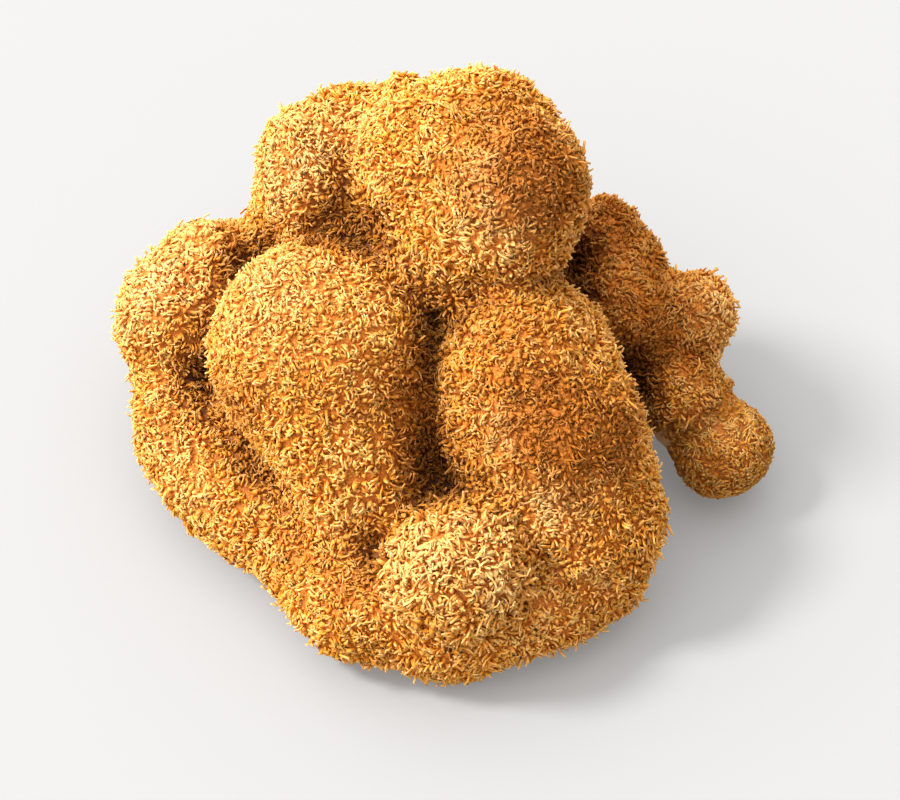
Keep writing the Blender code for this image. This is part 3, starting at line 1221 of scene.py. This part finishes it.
@dataclass
class Studio:
    """The floor, the soft light from the left and the camera that looks down on the body."""

    target_mm: tuple[float, float, float] = (1.5, 7.9, 0.0)
    elevation: float = 52.0
    distance_mm: float = 373.0
    lens_mm: float = 85.0
    sensor_mm: float = 36.0
    light_from: tuple[float, float, float] = (-0.64, 0.04, 0.72)
    light_strength: float = 3.2
    light_spread: float = 12.0
    sky_from: tuple[float, float, float] = (-0.4, 0.1, 0.9)
    sky_colour: str = "#FFFEFC"
    sky_least: float = 0.1
    sky_most: float = 2.55
    floor_side_m: float = 3.0
    finish: FloorFinish = FloorFinish()

    def add_floor(self) -> None:
        """Lay the plain pale floor."""
        shape = bmesh.new()
        bmesh.ops.create_grid(shape, x_segments=1, y_segments=1, size=self.floor_side_m / 2.0)
        mesh = bpy.data.meshes.new("floor")
        shape.to_mesh(mesh)
        shape.free()
        mesh.materials.append(self.finish.material())
        floor = bpy.data.objects.new("floor", mesh)
        bpy.context.scene.collection.objects.link(floor)

    def add_lights(self) -> None:
        """Light the body from the left, with an even white sky all round."""
        lamp = bpy.data.lights.new("window", "SUN")
        lamp.energy = self.light_strength
        lamp.angle = math.radians(self.light_spread)
        sun = bpy.data.objects.new("window", lamp)
        sun.rotation_euler = Vector(self.light_from).to_track_quat("Z", "Y").to_euler()
        bpy.context.scene.collection.objects.link(sun)
        sky = bpy.data.worlds.new("white room")
        sky.use_nodes = True
        tree = sky.node_tree
        place = add_node(tree, "ShaderNodeTexCoord")
        facing = add_node(
            tree,
            "ShaderNodeVectorMath",
            {"operation": "DOT_PRODUCT", 1: tuple(Vector(self.sky_from).normalized())},
            {0: place.outputs["Generated"]},
        )
        strength = add_node(
            tree,
            "ShaderNodeMapRange",
            {"From Min": 0.0, "From Max": 1.0, "To Min": self.sky_least, "To Max": self.sky_most},
            {"Value": facing.outputs["Value"]},
        )
        tree.links.new(strength.outputs["Result"], tree.nodes["Background"].inputs["Strength"])
        tree.nodes["Background"].inputs["Color"].default_value = linear(self.sky_colour)
        bpy.context.scene.world = sky

    def add_camera(self) -> None:
        """Set the camera at the photograph's viewing angle."""
        lens = bpy.data.cameras.new("camera")
        lens.lens = self.lens_mm
        lens.sensor_width = self.sensor_mm
        camera = bpy.data.objects.new("camera", lens)
        tilt = math.radians(self.elevation)
        back = Vector((0.0, -math.cos(tilt), math.sin(tilt))) * self.distance_mm
        camera.location = (Vector(self.target_mm) + back) * MM
        camera.rotation_euler = (math.radians(90.0) - tilt, 0.0, 0.0)
        bpy.context.scene.collection.objects.link(camera)
        bpy.context.scene.camera = camera

    def build(self) -> None:
        """Set up the whole studio."""
        self.add_floor()
        self.add_lights()
        self.add_camera()
        bpy.context.scene.view_settings.view_transform = "Standard"
        bpy.context.scene.view_settings.look = "Medium High Contrast"


def dress(pieces: Sequence[bpy.types.Object], slot: str) -> None:
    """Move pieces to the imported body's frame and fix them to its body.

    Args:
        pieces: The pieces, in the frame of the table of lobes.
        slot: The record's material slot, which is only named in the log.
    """
    move = Matrix.Translation(Vector((-BOX_MIDDLE_MM[0], -BOX_MIDDLE_MM[1], 0.0)) * MM)
    for piece in pieces:
        piece.data.transform(move)
        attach(piece, BODY)
        LOG.info("%s rides on %s and takes %s", piece.name, BODY, slot)


def main() -> None:
    """Build the mushroom and its studio."""
    logging.basicConfig(level=logging.INFO, format="%(name)s: %(message)s")
    Studio().build()
    flesh = Flesh().build()
    spines = SpineCoat(flesh).build()
    dress([flesh], "dried_flesh")
    dress(spines, "dried_spines")
    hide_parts(NODE)


if __name__ == "__main__":
    main()
